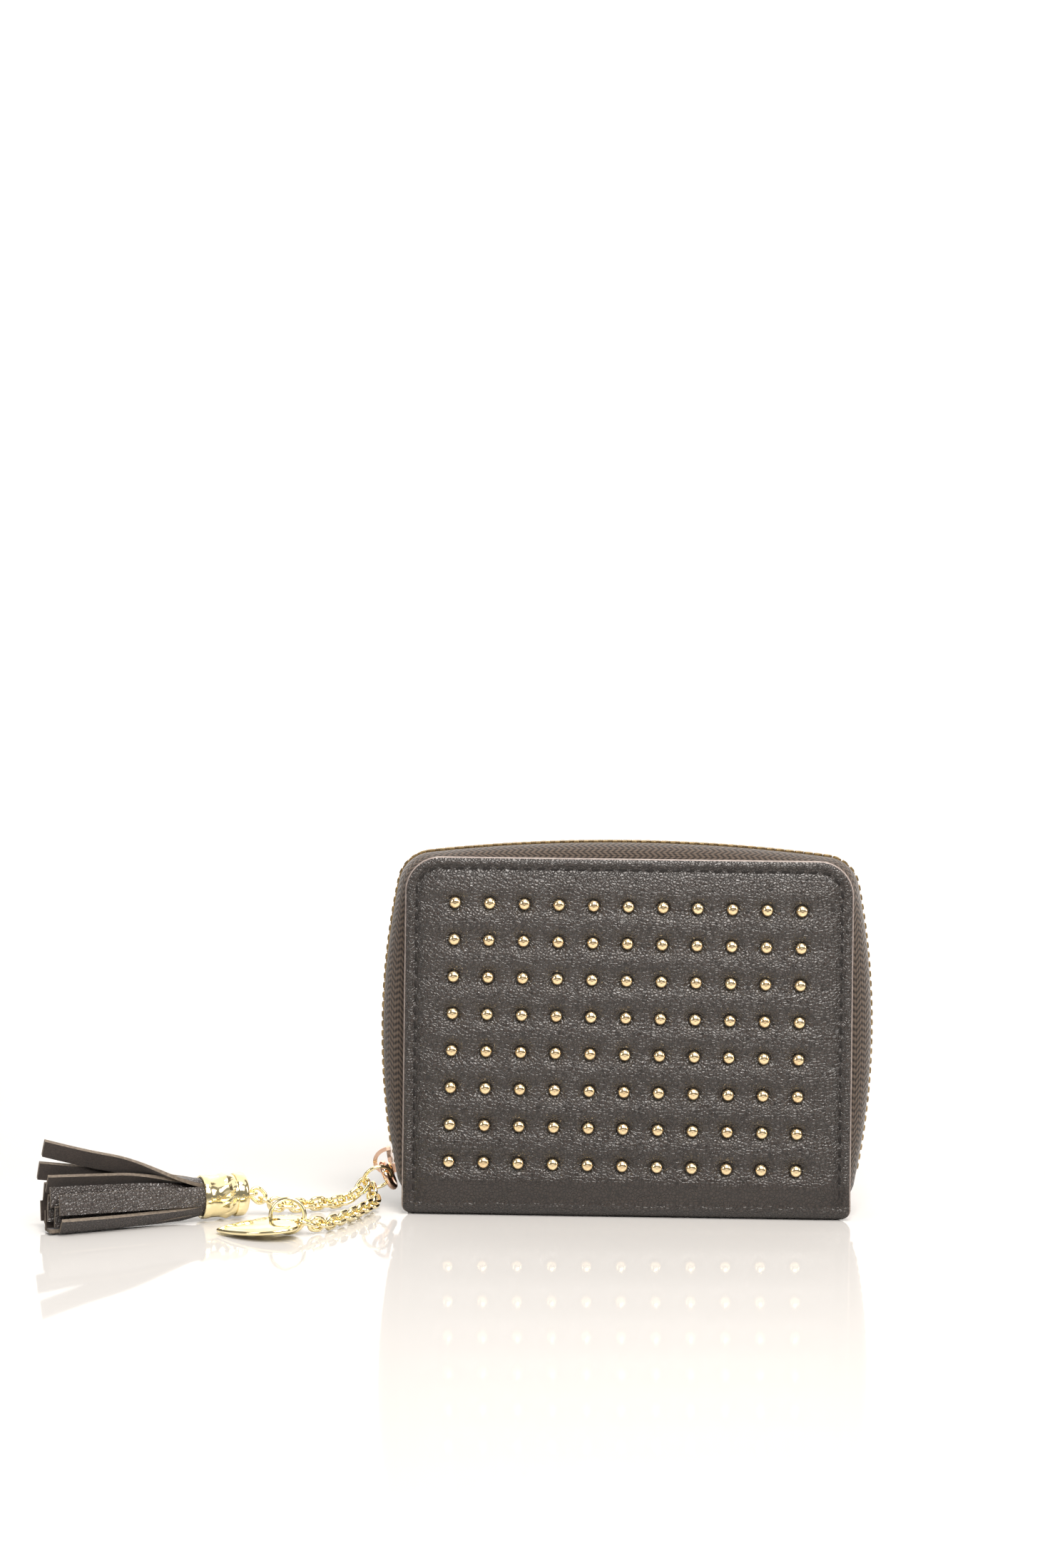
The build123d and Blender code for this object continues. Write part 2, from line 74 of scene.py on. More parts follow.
# The zip's line: a long arc up each side, a flatter one over the top, and two rounded corners
SIDE_RADIUS = 187.0
SIDE_MIDDLE_Z = 46.5
SHOULDER_Z = 89.3
ZIP_HALF_WIDTH = 61.4
ZIP_TOP = 93.1
ZIP_CORNER_RADIUS = 8.5
ZIP_FOOT_Z = 8.5
COVER_FOOT_Z = 4.2

# The studs' grid, as in the model
STUD_COLUMNS, STUD_ROWS = 11, 8
STUD_PITCH_X, STUD_PITCH_Z = 8.62, 9.21
STUD_CENTRE = (-0.6, 45.1)
STUD_TILT = radians(-0.75)

STITCH_INSET = 2.9
STITCH_PITCH = 3.4
STITCH_LENGTH = 2.5
STITCH_RADIUS = 0.38
STITCH_SLANT = 0.35
STITCH_FOOT_Z = 5.0

# The leather's relief: the turned edge and its bead, the padding's swell, the stud dimples
EDGE_DROP, BEAD_HEIGHT = 0.75, 0.62
SWELL, SWELL_REACH = 0.42, 9.0
GROOVE_DEPTH, GROOVE_WIDTH = 0.22, 0.42
DIMPLE_DEPTH, DIMPLE_RADIUS = 1.05, 2.1
ROW_WAVE = 0.22
UNEVENNESS = 0.10

# The tape: where it leaves the cover, its belly, and the edge that holds the teeth
TAPE_TUCK = 1.4
TAPE_TUCK_Y, TAPE_BELLY_Y, TAPE_EDGE_Y = 9.4, 4.4, 1.9
TAPE_BULGE = 6.5

TOOTH_PITCH = 2.43
FIRST_TOOTH = 0.75
TOOTH_CORNER = 1.28


def mesh_piece(name, points, faces, materials, kinds=None, smooth=True):
    """A mesh object from points in millimetres."""
    mesh = bpy.data.meshes.new(name)
    mesh.from_pydata([Vector(p) * MM for p in points], [], faces)
    for material in materials:
        mesh.materials.append(material)
    if kinds:
        mesh.polygons.foreach_set("material_index", kinds)
    mesh.polygons.foreach_set("use_smooth", [smooth] * len(mesh.polygons))
    mesh.update()
    piece = bpy.data.objects.new(name, mesh)
    bpy.context.scene.collection.objects.link(piece)
    return piece


def lattice(rows, columns, start=0, closed=False):
    """Quads over a lattice of points, row after row."""
    faces = []
    for row in range(rows - 1):
        for column in range(columns if closed else columns - 1):
            a = start + row * columns + column
            b = start + row * columns + (column + 1) % columns
            faces.append((a, b, b + columns, a + columns))
    return faces


def smoothstep(low, high, value):
    share = min(max((value - low) / (high - low), 0.0), 1.0)
    return share * share * (3 - 2 * share)


def crease(piece, angle):
    """Keeps edges sharper than the angle sharp in shading."""
    modifier = piece.modifiers.new("Edges", "EDGE_SPLIT")
    modifier.split_angle = radians(angle)


# ---------------------------------------------------------------- materials


class Nodes:
    """A short way to write a material's nodes."""

    def __init__(self, name):
        self.material = bpy.data.materials.new(name)
        self.material.use_nodes = True
        self.tree = self.material.node_tree
        self.shader = self.tree.nodes["Principled BSDF"]

    def add(self, kind, inputs=None, **settings):
        node = self.tree.nodes.new("ShaderNode" + kind)
        for key, value in settings.items():
            setattr(node, key, value)
        for key, value in (inputs or {}).items():
            if isinstance(value, bpy.types.NodeSocket):
                self.tree.links.new(value, node.inputs[key])
            else:
                node.inputs[key].default_value = value
        return node

    def place(self, uv=False):
        return self.add("TexCoord").outputs["UV" if uv else "Object"]

    def ramp(self, factor, stops):
        node = self.add("ValToRGB", {"Fac": factor})
        ramp = node.color_ramp
        while len(ramp.elements) < len(stops):
            ramp.elements.new(0.5)
        for element, (position, colour) in zip(ramp.elements, stops):
            element.position = position
            element.color = (*colour, 1) if isinstance(colour, tuple) else (colour,) * 3 + (1,)
        return node.outputs["Color"]

    def mix(self, factor, a, b, blend="MIX"):
        node = self.add("Mix", data_type="RGBA", blend_type=blend)
        for key, value in ((0, factor), (6, a), (7, b)):
            if isinstance(value, bpy.types.NodeSocket):
                self.tree.links.new(value, node.inputs[key])
            else:
                node.inputs[key].default_value = self.plain(value)
        return node.outputs[2]

    def math(self, operation, a, b=0.0):
        return self.add("Math", {0: a, 1: b}, operation=operation).outputs[0]

    def bump(self, height, strength, distance):
        inputs = {"Height": height, "Strength": strength, "Distance": distance}
        return self.add("Bump", inputs).outputs["Normal"]

    def set(self, **sockets):
        for key, value in sockets.items():
            socket = self.shader.inputs[key.replace("_", " ")]
            if isinstance(value, bpy.types.NodeSocket):
                self.tree.links.new(value, socket)
            else:
                socket.default_value = self.plain(value)
        return self.material

    @staticmethod
    def plain(value):
        """A socket's constant value: a colour gains its alpha."""
        return (*value, 1) if isinstance(value, tuple) else value


def leather(name, dark, light, cell=0.8, depth=0.00013, rough=(0.25, 0.36), shaded=False):
    """Pebble-grained coated leather: small cells, with darker creases between them."""
    n = Nodes(name)
    place = n.place()
    warp = n.add("TexNoise", {"Vector": place, "Scale": 420.0, "Detail": 3.0})
    reach = (0.0007,) * 3
    shifted = n.add("VectorMath", {0: warp.outputs["Color"], 1: reach}, operation="MULTIPLY")
    moved = n.add("VectorMath", {0: place, 1: shifted.outputs[0]}, operation="ADD").outputs[0]
    cells = n.add(
        "TexVoronoi", {"Vector": moved, "Scale": 1000 / cell}, feature="DISTANCE_TO_EDGE"
    ).outputs["Distance"]
    tints = n.add("TexVoronoi", {"Vector": moved, "Scale": 1000 / cell}).outputs["Color"]
    fine = n.add("TexNoise", {"Vector": place, "Scale": 3200.0, "Detail": 2.0}).outputs["Fac"]
    patches = n.add("TexNoise", {"Vector": place, "Scale": 45.0, "Detail": 4.0}).outputs["Fac"]
    pebble = n.ramp(cells, [(0.0, 0.0), (0.16, 0.62), (0.5, 1.0)])
    colour = n.mix(pebble, dark, light)
    shade = n.ramp(patches, [(0.3, 0.94), (0.7, 1.05)])
    colour = n.mix(1.0, colour, shade, "MULTIPLY")
    height = n.math("ADD", pebble, n.math("MULTIPLY", fine, 0.2))
    if shaded:
        # The Shade attribute's colour is painted shade, darker round the studs and inside the
        # stitches; its alpha scales the grain.
        painted_shade = n.add("VertexColor", layer_name="Shade")
        colour = n.mix(1.0, colour, painted_shade.outputs["Color"], "MULTIPLY")
        height = n.math("MULTIPLY", height, painted_shade.outputs["Alpha"])
    grey = n.add("SeparateColor", {"Color": tints}).outputs[0]
    mottled = n.math("ADD", n.math("MULTIPLY", grey, 0.5), n.math("MULTIPLY", fine, 0.5))
    roughness = n.ramp(mottled, [(0.25, rough[0]), (0.75, rough[1])])
    return n.set(
        Base_Color=colour,
        Roughness=roughness,
        Specular_IOR_Level=0.7,
        Normal=n.bump(height, 1.0, depth),
    )


def metal(name, tone, shadow, roughness=0.14, wear=0.05):
    """Plated metal with faint brushing, uneven polish and a slightly deeper tone in patches."""
    n = Nodes(name)
    place = n.place()
    patches = n.add("TexNoise", {"Vector": place, "Scale": 260.0, "Detail": 4.0}).outputs["Fac"]
    stretched = n.add("Mapping", {"Vector": place, "Scale": (9000.0, 1500.0, 1500.0)}).outputs[0]
    lines = n.add("TexNoise", {"Vector": stretched, "Scale": 1.0, "Detail": 2.0}).outputs["Fac"]
    colour = n.mix(n.ramp(patches, [(0.35, 0.0), (0.75, 1.0)]), tone, shadow)
    polish = n.ramp(patches, [(0.3, roughness), (0.75, roughness + wear)])
    return n.set(
        Base_Color=colour, Metallic=1.0, Roughness=polish, Normal=n.bump(lines, 0.12, 0.00002)
    )


def woven(name, dark, light, thread=0.42):
    """A herringbone tape: slanting ribs that turn back at each row, over fine threads."""
    n = Nodes(name)
    split = n.add("SeparateXYZ", {"Vector": n.place(uv=True)})
    along, across = split.outputs[0], split.outputs[1]
    fold = n.math("PINGPONG", across, 1.3)
    slant = n.math("ADD", along, fold)
    ribs = n.math("SINE", n.math("MULTIPLY", slant, 2 * pi / (2.2 * thread)))
    threads = n.math("SINE", n.math("MULTIPLY", across, 2 * pi / thread))
    fuzz = n.add("TexNoise", {"Vector": n.place(), "Scale": 2500.0, "Detail": 3.0}).outputs["Fac"]
    weave = n.math("ADD", n.math("MULTIPLY", ribs, 0.32), n.math("MULTIPLY", threads, 0.16))
    level = n.math("ADD", n.math("ADD", weave, 0.5), n.math("MULTIPLY", fuzz, 0.3))
    colour = n.mix(n.ramp(level, [(0.3, 0.0), (0.95, 1.0)]), dark, light)
    return n.set(
        Base_Color=colour,
        Roughness=0.82,
        Sheen_Weight=0.35,
        Specular_IOR_Level=0.25,
        Normal=n.bump(level, 0.9, 0.00016),
    )


def cloth(name, dark, light, pitch=0.5, sheen=0.2):
    """Plain cloth with a fine twill."""
    n = Nodes(name)
    place = n.place()
    split = n.add("SeparateXYZ", {"Vector": place})
    slant = n.math("ADD", split.outputs[0], split.outputs[2])
    ribs = n.math("SINE", n.math("MULTIPLY", slant, 2 * pi / (pitch * MM)))
    fuzz = n.add("TexNoise", {"Vector": place, "Scale": 1800.0, "Detail": 4.0}).outputs["Fac"]
    level = n.math("ADD", n.math("MULTIPLY", ribs, 0.3), fuzz)
    colour = n.mix(n.ramp(level, [(0.2, 0.0), (0.9, 1.0)]), dark, light)
    return n.set(
        Base_Color=colour, Roughness=0.85, Sheen_Weight=sheen, Normal=n.bump(level, 0.6, 0.0001)
    )


def suede(name, dark, light):
    """The napped inner side of leather."""
    n = Nodes(name)
    place = n.place()
    nap = n.add("TexNoise", {"Vector": place, "Scale": 2200.0, "Detail": 6.0}).outputs["Fac"]
    drift = n.add("TexNoise", {"Vector": place, "Scale": 180.0, "Detail": 3.0}).outputs["Fac"]
    level = n.math("ADD", n.math("MULTIPLY", nap, 0.7), n.math("MULTIPLY", drift, 0.4))
    colour = n.mix(n.ramp(level, [(0.3, 0.0), (0.8, 1.0)]), dark, light)
    return n.set(
        Base_Color=colour, Roughness=0.95, Sheen_Weight=0.3, Normal=n.bump(nap, 0.8, 0.00012)
    )


def speckled(name, dark, light, scale, roughness, depth=0.00005):
    """A matt fibrous or painted surface with a slight mottle."""
    n = Nodes(name)
    spots = n.add("TexNoise", {"Vector": n.place(), "Scale": scale, "Detail": 5.0}).outputs["Fac"]
    colour = n.mix(n.ramp(spots, [(0.3, 0.0), (0.7, 1.0)]), dark, light)
    return n.set(Base_Color=colour, Roughness=roughness, Normal=n.bump(spots, 0.4, depth))


BLACK_LEATHER = leather(
    "BlackLeather", (0.008, 0.006, 0.005), (0.036, 0.0265, 0.022), shaded=True
)
STRIP_LEATHER = leather("StripLeather", (0.014, 0.011, 0.010), (0.066, 0.053, 0.048), 0.7)
# Edge paint, its pale colour also a painted highlight along the rim's front bevel
EDGE_PAINT_AND_HIGHLIGHT = speckled("EdgePaintAndHighlight", (0.20, 0.16, 0.145), (0.32, 0.27, 0.245), 900.0, 0.5)
STRIP_EDGE = speckled("StripEdge", (0.10, 0.08, 0.062), (0.19, 0.155, 0.12), 1500.0, 0.8)
STRIP_SUEDE = suede("StripSuede", (0.014, 0.009, 0.007), (0.052, 0.036, 0.028))
THREAD = cloth("Thread", (0.004, 0.003, 0.003), (0.016, 0.012, 0.010), 0.18, 0.0)
ZIP_TAPE = woven("ZipTape", (0.010, 0.007, 0.0055), (0.096, 0.070, 0.053), 0.7)
ZIP_METAL = metal("ZipMetal", (0.50, 0.36, 0.18), (0.22, 0.15, 0.075), 0.24, 0.12)
STUD_GOLD = metal("StudGold", (1.0, 0.80, 0.49), (0.92, 0.68, 0.39), 0.13)
ROSE_GOLD = metal("RoseGold", (0.90, 0.62, 0.46), (0.78, 0.50, 0.36), 0.13)
PALE_GOLD = metal("PaleGold", (0.98, 0.87, 0.54), (0.93, 0.78, 0.44), 0.10)
LINING = cloth("Lining", (0.030, 0.024, 0.020), (0.085, 0.068, 0.056))
FOAM = speckled("Foam", (0.62, 0.60, 0.54), (0.78, 0.76, 0.70), 1600.0, 0.9, 0.0002)
BOARD = speckled("Board", (0.30, 0.23, 0.16), (0.44, 0.35, 0.25), 700.0, 0.9)


def paint_nodes(material, *names):
    """Gives a CAD node its material."""
    for name in names:
        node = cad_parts[name]
        node.data.materials.clear()
        node.data.materials.append(material)
        for slot in node.material_slots:
            slot.material = material


# ------------------------------------------------------------ outlines in X and Z


def circle_meeting(a, radius_a, b, radius_b):
    """The left-hand one of the two points at given distances from two centres."""
    gap = b - a
    along = (radius_a**2 - radius_b**2 + gap.length**2) / (2 * gap.length)
    off = sqrt(radius_a**2 - along**2)
    unit = gap.normalized()
    normal = Vector((-unit.y, unit.x))
    points = [a + unit * along + normal * off, a + unit * along - normal * off]
    return min(points, key=lambda p: p.x)


def arc(centre, start, end, count):
    """Points on an arc between two points, the short way round."""
    first = start - centre
    second = end - centre
    turn = first.angle_signed(second)
    return [centre + Matrix.Rotation(-turn * k / (count - 1), 2) @ first for k in range(count)]


def mirrored(points):
    """Left-hand points and their mirror image, from the left foot over the top to the right."""
    return points + [Vector((-p.x, p.y)) for p in reversed(points)]


SIDE_STATIONS, CORNER_STATIONS, TOP_STATIONS = 46, 14, 34
MIDDLE_GAP = 0.01


def cover_line(inset, foot=COVER_FOOT_Z):
    """A cover's outline at an inset, from its left foot over the top to its right foot."""
    half, top = HALF_WIDTH - inset, TOP - inset
    radius = max(CORNER_RADIUS - inset, 1.0)
    side_end = Vector((-half, top - radius))
    top_start = Vector((-half + radius, top))
    side = [Vector((-half, foot)).lerp(side_end, k / SIDE_STATIONS) for k in range(SIDE_STATIONS)]
    corner = arc(Vector((top_start.x, side_end.y)), side_end, top_start, CORNER_STATIONS)
    last = Vector((-MIDDLE_GAP, top))
    across = [top_start.lerp(last, k / TOP_STATIONS) for k in range(1, TOP_STATIONS + 1)]
    return mirrored(side + corner + across)


def zip_line():
    """The zip's line, with as many points as a cover's outline."""
    side_centre = Vector((SIDE_RADIUS - ZIP_HALF_WIDTH, SIDE_MIDDLE_Z))
    shoulder_x = sqrt(SIDE_RADIUS**2 - (SHOULDER_Z - SIDE_MIDDLE_Z) ** 2) - side_centre.x
    rise = ZIP_TOP - SHOULDER_Z
    top_radius = (shoulder_x**2 + rise**2) / (2 * rise)
    top_centre = Vector((0, ZIP_TOP - top_radius))
    radius = ZIP_CORNER_RADIUS
    middle = circle_meeting(side_centre, SIDE_RADIUS - radius, top_centre, top_radius - radius)
    side_end = middle + (middle - side_centre).normalized() * radius
    top_start = middle + (middle - top_centre).normalized() * radius
    foot_x = side_centre.x - sqrt(SIDE_RADIUS**2 - (ZIP_FOOT_Z - SIDE_MIDDLE_Z) ** 2)
    foot = Vector((foot_x, ZIP_FOOT_Z))
    side = arc(side_centre, foot, side_end, SIDE_STATIONS + 1)[:-1]
    corner = arc(middle, side_end, top_start, CORNER_STATIONS)
    crown = Vector((-MIDDLE_GAP, ZIP_TOP))
    across = arc(top_centre, top_start, crown, TOP_STATIONS + 1)[1:]
    return mirrored(side + corner + across)


class Track:
    """Places and directions at distances along an outline."""

    def __init__(self, points):
        self.points = points
        self.reach = [0.0]
        for a, b in zip(points, points[1:]):
            self.reach.append(self.reach[-1] + (b - a).length)
        self.length = self.reach[-1]

    def at(self, distance):
        """The point, the direction along, and the direction outwards."""
        index = min(max(bisect_right(self.reach, distance) - 1, 0), len(self.points) - 2)
        a, b = self.points[index], self.points[index + 1]
        span = self.reach[index + 1] - self.reach[index]
        along = (b - a).normalized()
        place = a.lerp(b, (distance - self.reach[index]) / span)
        return place, along, Vector((-along.y, along.x))


# ------------------------------------------------------------------- covers


def nearest_stud(x, z):
    """How far a point is from the nearest stud, and its height in the studs' tilted grid."""
    x0, z0 = x - STUD_CENTRE[0], z - STUD_CENTRE[1]
    u = x0 * cos(STUD_TILT) + z0 * sin(STUD_TILT)
    v = -x0 * sin(STUD_TILT) + z0 * cos(STUD_TILT)
    column = min(max(round(u / STUD_PITCH_X + (STUD_COLUMNS - 1) / 2), 0), STUD_COLUMNS - 1)
    row = min(max(round(v / STUD_PITCH_Z + (STUD_ROWS - 1) / 2), 0), STUD_ROWS - 1)
    near_u = (column - (STUD_COLUMNS - 1) / 2) * STUD_PITCH_X
    near_v = (row - (STUD_ROWS - 1) / 2) * STUD_PITCH_Z
    return hypot(u - near_u, v - near_v), v


def inset_of(x, z):
    """How far inside a cover's outline a point is."""
    dx, dz = HALF_WIDTH - abs(x), TOP - z
    if dx < CORNER_RADIUS and dz < CORNER_RADIUS:
        return CORNER_RADIUS - hypot(CORNER_RADIUS - dx, CORNER_RADIUS - dz)
    return min(dx, dz)


def relief(x, z, studded):
    """How far the leather stands behind its flat face (above zero) or proud of it (below)."""
    inset = inset_of(x, z)
    hollow = 0.0
    if inset < STITCH_INSET:
        rise = max(inset, 0.0) / STITCH_INSET
        bead = sin(pi * min(rise * 0.93 + 0.07, 1.0))
        hollow += EDGE_DROP - BEAD_HEIGHT * bead
        hollow += EDGE_DROP * (1 - min(inset / EDGE_DROP, 1.0)) ** 2
    else:
        hollow += EDGE_DROP * exp(-((inset - STITCH_INSET) / 1.5))
        hollow -= SWELL * smoothstep(STITCH_INSET, STITCH_INSET + SWELL_REACH, inset)
    hollow += GROOVE_DEPTH * exp(-(((inset - STITCH_INSET) / GROOVE_WIDTH) ** 2))
    lump = noise.noise(Vector((x * 0.05, z * 0.06, 3.1 if studded else 8.2)))
    hollow += UNEVENNESS * lump * smoothstep(STITCH_INSET, 10.0, inset)
    if studded:
        gap, v = nearest_stud(x, z)
        span_v = (STUD_ROWS - 1) / 2 * STUD_PITCH_Z
        band = smoothstep(span_v + 7.5, span_v + 1.0, abs(v))
        hollow += DIMPLE_DEPTH * exp(-((gap / DIMPLE_RADIUS) ** 2))
        row_wave = cos(2 * pi * (v + span_v) / STUD_PITCH_Z)
        hollow += ROW_WAVE * row_wave * band * smoothstep(STITCH_INSET, 7.0, inset)
        drift = noise.noise(Vector((x * 0.11, z * 0.35, 0.7)))
        hollow += UNEVENNESS * drift * band
    return hollow


def shade_of(x, z, studded):
    """Painted shade for the leather at a point: darker round each stud and just inside the
    stitches.
    """
    inset = inset_of(x, z)
    shade = 1.0 - 0.25 * exp(-(((inset - STITCH_INSET - 0.9) / 0.7) ** 2))
    if studded:
        gap, _ = nearest_stud(x, z)
        shade *= 1.0 - 0.75 * exp(-(((gap - 1.5) / 0.42) ** 2))
    return shade


def rounded(x, z):
    """Carries a point of a plain rectangle into the outline with two rounded top corners."""
    limit_x, limit_z = HALF_WIDTH - CORNER_RADIUS, TOP - CORNER_RADIUS
    a, b = (abs(x) - limit_x) / CORNER_RADIUS, (z - limit_z) / CORNER_RADIUS
    if a <= 0 or b <= 0:
        return x, z
    new_a, new_b = a * sqrt(1 - b * b / 2), b * sqrt(1 - a * a / 2)
    sign = 1 if x > 0 else -1
    return sign * (limit_x + new_a * CORNER_RADIUS), limit_z + new_b * CORNER_RADIUS


def shell_rows(step):
    """The shell's rows from the spine's middle to the top: (y, z, inward y, inward z)."""
    rows = []
    under = 9
    for k in range(under):
        rows.append((SPINE_HALF_Y * k / under, 0.0, 0.0, 1.0))
    bends = 9
    for k in range(bends):
        angle = pi / 2 * k / bends
        y = SPINE_HALF_Y + FOLD_RADIUS * sin(angle)
        rows.append((y, FOLD_RADIUS * (1 - cos(angle)), -sin(angle), cos(angle)))
    count = round((TOP - FOLD_RADIUS) / step)
    for k in range(count + 1):
        z = FOLD_RADIUS + (TOP - FOLD_RADIUS) * k / count
        rows.append((FRONT_Y, z, -1.0, 0.0))
    return rows


# The rim's rings: how far out and how far back from the face's border, and 1 for the edge paint,
# whose pale colour is also a painted rim highlight
RIM_PROFILE = [(0.22, 0.10, 1), (0.34, 0.42, 1), (0.30, 0.95, 0), (-0.2, 1.9, 0), (-1.3, 2.5, 0)]


def make_shell(name, side, studded, step):
    """A cover's leather with half of the spine: one skin from the spine's middle to the tape."""
    rows = shell_rows(step)
    columns = round(2 * HALF_WIDTH / step) + 1
    points = []
    for y, z, in_y, in_z in rows:
        foot = max(FOOT_RADIUS - z, 0.0)
        half = HALF_WIDTH - RIM_INSET - (FOOT_RADIUS - sqrt(max(FOOT_RADIUS**2 - foot**2, 0.0)))
        for column in range(columns):
            x = half * (2 * column / (columns - 1) - 1)
            flat_x, flat_z = rounded(x * HALF_WIDTH / (HALF_WIDTH - RIM_INSET), z)
            if z > FOLD_RADIUS:
                share = smoothstep(FOLD_RADIUS, FOLD_RADIUS + 5.0, z)
                face_z = flat_z - RIM_INSET * z / TOP
                depth = relief(flat_x * FACE_SHARE, face_z, studded)
                depth *= FOLD_RELIEF + (1 - FOLD_RELIEF) * share
                face_x = flat_x * (HALF_WIDTH - RIM_INSET) / HALF_WIDTH
                points.append((face_x, -(y - depth), face_z))
            else:
                depth = FOLD_RELIEF * relief(x, FOLD_RADIUS + 0.1, studded) * (z / FOLD_RADIUS)
                points.append((x, -(y + in_y * depth), z + in_z * depth))
    kinds = [0] * ((len(rows) - 1) * (columns - 1))
    faces = lattice(len(rows), columns)
    first = [(row * columns, row) for row in range(len(rows))]
    over = [((len(rows) - 1) * columns + k, len(rows) - 1) for k in range(1, columns - 1)]
    last = [(row * columns + columns - 1, row) for row in reversed(range(len(rows)))]
    border = first + over + last
    ring = [index for index, _ in border]
    for out, back, kind in RIM_PROFILE:
        new_ring = []
        for index, row in border:
            x, y, z = points[index]
            _, _, in_y, in_z = rows[row]
            limit_x, limit_z = HALF_WIDTH - CORNER_RADIUS, TOP - CORNER_RADIUS
            sign = 1 if x > 0 else -1
            if abs(x) > limit_x and z > limit_z:
                away = Vector((abs(x) - limit_x, z - limit_z)).normalized()
                direction = Vector((sign * away.x, away.y))
            elif z > limit_z:
                direction = Vector((0.0, 1.0))
            else:
                direction = Vector((sign, 0.0))
            new_ring.append(len(points))
            points.append(
                (x + direction.x * out, y - in_y * back, z + direction.y * out + in_z * back)
            )
        for k in range(len(ring) - 1):
            faces.append((ring[k], ring[k + 1], new_ring[k + 1], new_ring[k]))
            kinds.append(kind)
        ring = new_ring
    if side > 0:
        points = [(x, -y, z) for x, y, z in points]
        faces = [tuple(reversed(face)) for face in faces]
    piece = mesh_piece(name, points, faces, [BLACK_LEATHER, EDGE_PAINT_AND_HIGHLIGHT], kinds)
    # The Shade attribute's colour holds painted shade round the studs and just inside the
    # stitches.
    shades = piece.data.color_attributes.new("Shade", "FLOAT_COLOR", "POINT")
    for index, (x, y, z) in enumerate(points):
        on_face = index < len(rows) * columns and z > FOLD_RADIUS
        shade = shade_of(x, z, studded) if on_face else 1.0
        # The attribute's alpha scales the grain, which is weaker below the last row of studs
        grain = 1.0 - 0.6 * smoothstep(12.0, 7.0, z) * (on_face and studded)
        shades.data[index].color = (shade, shade, shade, grain)
    thick = piece.modifiers.new("Thickness", "SOLIDIFY")
    thick.thickness = SHELL_THICKNESS * MM
    thick.offset = -1.0
    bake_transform(piece)
    return piece


def make_thread(name, side, studded):
    """Stitches sunk in their groove: short twisted threads, each dipping at both ends."""
    track = Track(cover_line(STITCH_INSET, STITCH_FOOT_Z))
    count = round(track.length / STITCH_PITCH)
    points, faces = [], []
    ring_count, around = 7, 8
    for index in range(count):
        middle = (index + 0.5) * track.length / count
        start = len(points)
        for ring in range(ring_count):
            share = ring / (ring_count - 1)
            place, _, out = track.at(middle + (share - 0.5) * STITCH_LENGTH)
            place = place + out * (share - 0.5) * STITCH_SLANT
            surface = FRONT_Y - relief(place.x, place.y, studded)
            sink = 0.42 * (2 * share - 1) ** 4 - 0.10
            radius = STITCH_RADIUS * sqrt(max(1 - (1.9 * share - 0.95) ** 4, 0.05))
            for k in range(around):
                angle = 2 * pi * k / around
                wide = 1 + 0.12 * cos(3 * angle + 9 * share)
                p = place + out * cos(angle) * radius * wide
                y = surface - sink + sin(angle) * radius * 0.8
                points.append((p.x, side * y, p.y))
        faces += lattice(ring_count, around, start, closed=True)
        faces.append(tuple(start + k for k in range(around)))
        end = start + (ring_count - 1) * around
        faces.append(tuple(end + k for k in reversed(range(around))))
    piece = mesh_piece(name, points, faces, [THREAD])
    return piece


# ---------------------------------------------------------------------- zip


def make_tape(name, side):
    """A woven tape that bulges from under the cover's edge to the teeth."""
    cover, line = cover_line(TAPE_TUCK), zip_line()
    profile = []
    steps = 12
    for k in range(steps + 1):
        angle = pi / 2 * k / steps
        y = TAPE_TUCK_Y + (TAPE_BELLY_Y - TAPE_TUCK_Y) * (1 - cos(angle))
        profile.append((sin(angle), y))
    for k in range(1, 5):
        profile.append((1.0, TAPE_BELLY_Y + (TAPE_EDGE_Y - TAPE_BELLY_Y) * k / 4))
    points, faces, uvs = [], [], []
    reach = Track(line).reach
    width = 0.0
    previous = None
    for share, y in profile:
        if previous:
            width += hypot((share - previous[0]) * TAPE_BULGE, y - previous[1])
        previous = (share, y)
        for index, (a, b) in enumerate(zip(cover, line)):
            p = a.lerp(b, share)
            points.append((p.x, side * y, p.y))
            uvs.append((reach[index], width))
    faces = lattice(len(profile), len(line))
    if side > 0:
        faces = [tuple(reversed(face)) for face in faces]
    piece = mesh_piece(name, points, faces, [ZIP_TAPE])
    layer = piece.data.uv_layers.new(name="UVMap")
    for loop in piece.data.loops:
        layer.data[loop.index].uv = uvs[loop.vertex_index]
    thick = piece.modifiers.new("Thickness", "SOLIDIFY")
    thick.thickness = TAPE_THICKNESS * MM
    thick.offset = -1.0
    return piece


# A tooth from its clamp to its head: Y, half its size along the zip, half its size outwards
TOOTH_SECTIONS = [
    (3.3, 0.55, 0.42),
    (3.1, 0.76, 0.64),
    (2.8, 0.80, 0.68),
    (1.7, 0.80, 0.68),
    (1.3, 0.72, 0.68),
    (0.9, 0.52, 0.66),
    (-0.5, 0.50, 0.62),
    (-0.8, 0.38, 0.48),
]


